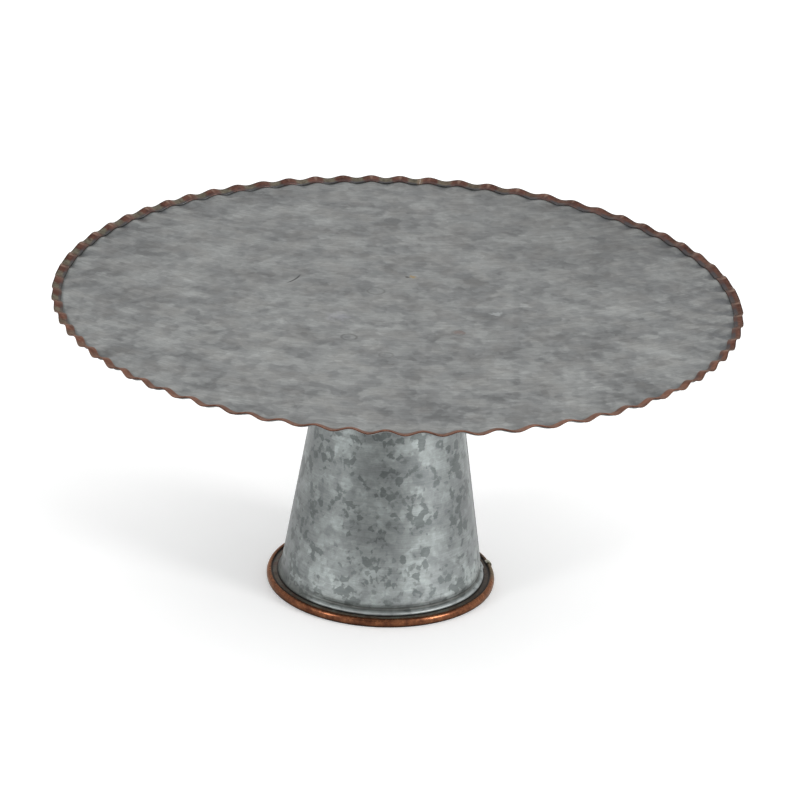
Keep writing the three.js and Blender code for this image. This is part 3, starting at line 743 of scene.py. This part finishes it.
def build_cone():
    line = [(cone_r(z), z) for z in np.linspace(CONE_TOP, 10.2, 36)]
    low = [(48.76, 9.2), (48.72, 8.6), (48.62, 8.05), (48.46, 7.6), (48.38, 7.2), (48.37, 6.8), (48.42, 6.45), (48.62, 6.12),
           (49.02, 5.88), (49.48, 5.66), (49.90, 5.38), (50.25, 5.05), (50.49, 4.70), (50.60, 4.33), (50.57, 4.05), (50.48, FLANGE_Z + 0.08)]
    low = [(r, z - 0.42 * math.sin(math.pi * min(1.0, max(0.0, (9.2 - z) / 4.3)))) for r, z in low]
    # where the groove is closed up the sheet simply flares out to the flange
    plain = [(48.78, 9.2), (48.86, 8.65), (48.94, 8.15), (49.02, 7.7), (49.12, 7.25), (49.24, 6.85), (49.38, 6.45), (49.54, 6.1),
             (49.74, 5.8), (49.95, 5.5), (50.18, 5.16), (50.38, 4.8), (50.52, 4.45), (50.59, 4.2), (50.57, 3.98), (50.48, FLANGE_Z + 0.08)]

    def section(a):
        x, y = math.cos(a), math.sin(a)
        g = float(smooth((x - 0.9 * y + 0.30) / 0.60))
        outer = np.array(line + low)
        outer[len(line):] = g * outer[len(line):] + (1 - g) * np.array(plain)
        d = np.gradient(outer, axis=0)
        d /= np.linalg.norm(d, axis=1)[:, None]
        inner = outer + np.stack([d[:, 1], -d[:, 0]], 1) * SHEET
        return np.concatenate([outer, inner[::-1]])

    start, lap = math.radians(SEAM_DEG), math.radians(SEAM_LAP_DEG)
    joggle = math.radians(3.0)
    a_end = start + 2 * math.pi
    a_over = start - lap + 2 * math.pi
    body = np.linspace(start - lap, a_over - joggle - 0.02, 250)
    end = np.concatenate([np.linspace(a_over - joggle, a_over, 10), np.linspace(a_over, a_end, 14)[1:]])
    angles = np.concatenate([body, end])
    step_out = SHEET + 0.12

    def warp(r, z, ang):
        s = step_out * smooth((ang - (a_over - joggle)) / joggle)
        x, y = r * np.cos(ang), r * np.sin(ang)
        w = 0.10 * lowfreq(x, y, z, 38.0, 5.3) * smooth((z - 8) / 20)
        return r + s + w, z, ang

    return ring("cone_sheet", section, angles, cx=PED_X, closed=False, warp=warp, smooth_angle=50)


cone = build_cone()
dress(cone, M_CONE, "galvanised_cone", "pedestal_cone")


def build_seam():
    rows, n = 90, 12
    verts = []
    a0 = math.radians(SEAM_DEG)
    for i in range(rows):
        t = i / (rows - 1)
        z = 12.5 + (143.5 - 12.5) * t
        r = cone_r(z)
        taper = min(1, 8 * t, 8 * (1 - t)) ** 0.5
        w = (0.75 + 0.22 * noise.noise(Vector((z / 5, 3.3, 0)))) * max(taper, 0.15)
        h = (0.62 + 0.16 * noise.noise(Vector((z / 3, 9.1, 0)))) * max(taper, 0.15)
        shift = 0.62 + 0.10 * noise.noise(Vector((z / 7, 1.7, 4)))
        for j in range(n):
            t2 = 2 * math.pi * j / n
            tang = shift + w * math.cos(t2)
            rad = max(0.03, h * (0.55 + 0.55 * math.sin(t2)))
            ang = a0 + tang / r
            verts.append((PED_X + (r + rad) * math.cos(ang), (r + rad) * math.sin(ang), z))
    faces = grid_faces(rows, n, close_rows=False)
    faces.append(tuple(range(n)))
    faces.append(tuple((rows - 1) * n + j for j in reversed(range(n))))
    return mesh_object("seam_bead", verts, faces, 60)


seam = build_seam()
dress(seam, M_SOLDER, "solder", "seam_solder")


# ------------------------------------------------------------------ pedestal top disc

def build_top_disc():
    wall = SHEET + 0.12
    top = CONE_TOP
    r_at = lambda z: cone_r(z) - wall
    outer = [(0.01, top + 0.22), (8, top + 0.22), (16, top + 0.22), (22, top + 0.22), (r_at(top) - 1.2, top + 0.2), (r_at(top) - 0.5, top + 0.05),
             (r_at(top) - 0.12, top - 0.35), (r_at(top - 1.2), top - 1.2), (r_at(top - 4), top - 4), (r_at(top - 8), top - 8)]
    inner = [(r - SHEET, z) for r, z in outer[::-1][:3]]
    inner += [(r_at(top) - 0.12 - SHEET, top - 0.75), (r_at(top) - 1.3, top - 0.35), (22, top - 0.38), (16, top - 0.38), (8, top - 0.38), (0.01, top - 0.38)]
    sec = np.array(outer + inner)
    angles = np.linspace(0, 2 * math.pi, 144, endpoint=False)

    def warp(r, z, ang):
        # three electrode dimples on the underside
        x, y = r * np.cos(ang), r * np.sin(ang)
        dz = np.zeros_like(r)
        for k in range(3):
            b = math.radians(35 + 120 * k)
            d = np.hypot(x - 15 * math.cos(b), y - 15 * math.sin(b))
            dz = dz - 0.12 * (1 - smooth(d / 3.5))
        return r, z + dz, ang

    return ring("top_cup", sec, angles, cx=PED_X, warp=warp)


disc = build_top_disc()
dress(disc, M_CONE, "galvanised_cone", "pedestal_top_disc")


# ------------------------------------------------------------------ foot

def build_foot_ring():
    out = rounded(
        [(COLLAR_R - SHEET, FLANGE_Z - SHEET), (FOOT_R - 1.0, FLANGE_Z - SHEET), (FOOT_R - 1.0, FLANGE_Z),
         (52.6, FLANGE_Z - 0.06), (50.9, FLANGE_Z), (COLLAR_R + 0.3, FLANGE_Z + 0.05), (COLLAR_R, FLANGE_Z + 0.5), (COLLAR_R, COLLAR_H),
         (COLLAR_R - SHEET, COLLAR_H)],
        [0.6, 0.1, 0.1, 0.8, 0.4, 0.3, 0.4, 0.15, 0.15], 3,
    )

    def warp(r, z, ang):
        w = 0.05 * lowfreq(r * np.cos(ang), r * np.sin(ang), z, 7.0, 2.2)
        return r, z + w * smooth((r - 50.8) / 1.0) * (1 - smooth((r - 53.2) / 0.8)), ang

    return ring("foot_pan", out, np.linspace(0, 2 * math.pi, 240, endpoint=False), cx=PED_X, warp=warp)


def build_rim():
    mid = rounded(
        [(RIM_LIP_R, FLANGE_Z + 0.33), (54.45, FOOT_RIM_H - 0.19), (55.1, FOOT_RIM_H - 0.33), (55.62, 3.35), (FOOT_R - 0.27, 2.55), (FOOT_R - 0.25, 1.6),
         (55.72, 0.85), (55.45, 0.25), (53.7, 0.25), (53.22, 0.75), (53.22, 2.4)],
        [0, 0.4, 0.5, 0.6, 0.6, 0.6, 0.5, 0.4, 0.5, 0.5, 0], 4,
    )
    d = np.gradient(mid, axis=0)
    d /= np.linalg.norm(d, axis=1)[:, None]
    nrm = np.stack([-d[:, 1], d[:, 0]], 1)
    s = np.concatenate([[0], np.cumsum(np.linalg.norm(np.diff(mid, axis=0), axis=1))])
    half_t = 0.25 * np.clip(0.55 + s / 2.2, 0, 1)[:, None]
    outer, inner = mid + nrm * half_t, mid - nrm * half_t
    sec = np.concatenate([outer, inner[::-1]])
    sec[:, 1] = np.maximum(sec[:, 1], 0.0)
    half = 0.9 / FOOT_R
    s0 = math.radians(RIM_JOINT_DEG)
    angles = np.linspace(s0 + half, s0 + 2 * math.pi - half, 300)

    def warp(r, z, ang):
        x, y = FOOT_R * np.cos(ang), FOOT_R * np.sin(ang)
        w = 0.09 * lowfreq(x, y, 0, 18.0, 1.1) + 0.04 * lowfreq(x, y, z, 5.0, 6.4)
        up = smooth((z - 0.6) / 2.0)
        return r + w * up * smooth((r - 54.2) / 1.5), z + 0.5 * w * up * smooth((r - 54.0) / 0.8), ang

    return ring("rim_roll", sec, angles, cx=PED_X, closed=False, warp=warp, smooth_angle=50)


foot_ring = build_foot_ring()
dress(foot_ring, M_GUTTER, "gutter_patina", "foot_ring")
rim = build_rim()
dress(rim, M_RIM, "antique_copper", "foot_rim")


def build_lump():
    """Solder run over the joint of the rolled rim."""
    s0 = math.radians(RIM_JOINT_DEG)
    rows, n = 26, 28
    # arch that wraps the rim from its lip to low on the outside, as (r, z)
    path = rounded([(53.75, FLANGE_Z + 0.45), (54.5, 4.42), (55.5, 4.25), (56.2, 3.3), (56.25, 1.3), (55.9, 0.45)], [0, 0.5, 0.7, 0.8, 0.4, 0], 4)
    m = len(path)
    d = np.gradient(path, axis=0)
    d /= np.linalg.norm(d, axis=1)[:, None]
    nrm = np.stack([-d[:, 1], d[:, 0]], 1)
    verts = []
    for i in range(m):
        t = i / (m - 1)
        ends = math.sin(math.pi * min(1.0, max(0.0, 0.12 + 0.80 * t))) ** 0.5
        width = (1.75 - 0.55 * t) * (0.7 + 0.3 * ends) + 0.22 * noise.noise(Vector((t * 5, 2.0, 0)))
        for j in range(n):
            b = 2 * math.pi * j / n
            c, s = math.cos(b), math.sin(b)
            bump = 0.14 * noise.noise(Vector((t * 6, c * 1.7 + 3, s * 1.7)))
            out = (0.16 + bump + (0.30 if s > 0 else 0.34) * abs(s) ** 0.7 * (1 if s > 0 else -1) * (0.6 + 0.4 * ends))
            q = path[i] + nrm[i] * out
            verts.append((q[0], width * c, q[1]))
    v = np.array(verts)
    v[:, 2] = np.maximum(v[:, 2], 0.02)
    rr, tang, zz = v[:, 0], v[:, 1], v[:, 2]
    ang = s0 + tang / 55.0
    w = np.stack([PED_X + rr * np.cos(ang), rr * np.sin(ang), zz], 1)
    faces = grid_faces(m, n, close_rows=False)
    faces.append(tuple(range(n)))
    faces.append(tuple((m - 1) * n + j for j in reversed(range(n))))
    return mesh_object("rim_solder", w, faces, 60)


lump = build_lump()
dress(lump, M_SOLDER, "solder", "rim_joint_solder")

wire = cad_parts["foot_rim_wire"]
wire.data.materials.clear()
wire.data.materials.append(M_WIRE)

# ------------------------------------------------------------------ camera, light and floor

CAM_F = 4036.0
ELEV, ROLL = math.radians(23.09), math.radians(2.51)
U = PLATE_R


def place_camera():
    fwd = np.array([0, math.cos(ELEV), -math.sin(ELEV)])
    right = np.array([1.0, 0, 0])
    down = np.cross(fwd, right)
    R = np.stack([right, down, fwd])
    cr, sr = math.cos(ROLL), math.sin(ROLL)
    R = np.array([[cr, -sr, 0], [sr, cr, 0], [0, 0, 1]]) @ R
    t = np.array([-0.0221, -0.3045, 11.700])
    c = -R.T @ t * U + np.array([PED_X, 0, EDGE_Z])
    x, y, z = R[0], -R[1], -R[2]
    m = Matrix(((x[0], y[0], z[0], c[0] * MM), (x[1], y[1], z[1], c[1] * MM), (x[2], y[2], z[2], c[2] * MM), (0, 0, 0, 1)))
    cam = bpy.data.cameras.new("camera")
    cam.sensor_fit = "HORIZONTAL"
    cam.sensor_width = 36
    cam.lens = CAM_F / 800 * 36
    cam.clip_start, cam.clip_end = 0.05, 50
    ob = bpy.data.objects.new("camera", cam)
    bpy.context.scene.collection.objects.link(ob)
    ob.matrix_world = m
    bpy.context.scene.camera = ob
    return ob


place_camera()


def area(name, az, el, dist, size, power, color=(1, 1, 1), target=(0, 0, 0.08)):
    """A soft box; azimuth 0 is on the camera's side, positive to the right."""
    L = bpy.data.lights.new(name, "AREA")
    L.shape = "RECTANGLE"
    L.size, L.size_y = size
    L.energy = power
    L.color = color
    ob = bpy.data.objects.new(name, L)
    bpy.context.scene.collection.objects.link(ob)
    a, e = math.radians(az), math.radians(el)
    p = Vector((math.sin(a) * math.cos(e), -math.cos(a) * math.cos(e), math.sin(e))) * dist + Vector(target)
    ob.location = p
    ob.rotation_euler = (Vector(target) - p).to_track_quat("-Z", "Y").to_euler()
    return ob


area("key_right", 60, 17, 1.7, (0.45, 0.7), 14)
area("fill_left", -50, 17, 1.8, (0.35, 0.6), 8)


def studio_world():
    """White surroundings, a little darker behind the camera and brighter at its right."""
    world = bpy.data.worlds.new("studio")
    bpy.context.scene.world = world
    world.use_nodes = True
    t = world.node_tree
    bg = t.nodes["Background"]
    tc = t.nodes.new("ShaderNodeTexCoord")
    n = Nodes.__new__(Nodes)
    n.t = t
    x, y, z = n.sep(tc.outputs["Generated"])[:3]
    az = n.math("MULTIPLY", n.math("ARCTAN2", x, n.math("MULTIPLY", y, -1.0)), 180 / math.pi)
    total = None
    for centre, width, amount in ((-12, 48, -0.55), (62, 52, 0.32), (-62, 34, 0.22)):
        d = n.math("ABSOLUTE", n.math("SUBTRACT", az, centre))
        g = n.math("MULTIPLY", n.math("SUBTRACT", 1.0, n.step(d, 0, width)), amount)
        total = g if total is None else n.math("ADD", total, g)
    fade = n.math("SUBTRACT", 1.0, n.step(n.math("ABSOLUTE", z), 0.55, 0.95))
    level = n.math("ADD", n.math("MULTIPLY", total, fade), 0.93)
    n.t.links.new(level, bg.inputs[1])
    bg.inputs[0].default_value = (1, 1, 1, 1)


studio_world()


def build_floor():
    me = bpy.data.meshes.new("floor")
    n, r = 96, 9.0
    vs = [(r * math.cos(2 * math.pi * i / n), r * math.sin(2 * math.pi * i / n), -0.0002) for i in range(n)]
    me.from_pydata(vs, [], [tuple(range(n))])
    ob = bpy.data.objects.new("floor", me)
    bpy.context.scene.collection.objects.link(ob)
    n_ = Nodes("floor")
    g = n_.noise(n_.mm, 1 / 60.0, 2.0, 0.5)
    ob.data.materials.append(n_.finish(n_.ramp(g, [(0.3, 0.96), (0.7, 0.98)]), 0.8, 0.0))
    n_.bsdf.inputs["Emission Color"].default_value = (1, 1, 1, 1)
    n_.bsdf.inputs["Emission Strength"].default_value = 0.20


build_floor()
bpy.context.scene.view_settings.view_transform = "Standard"
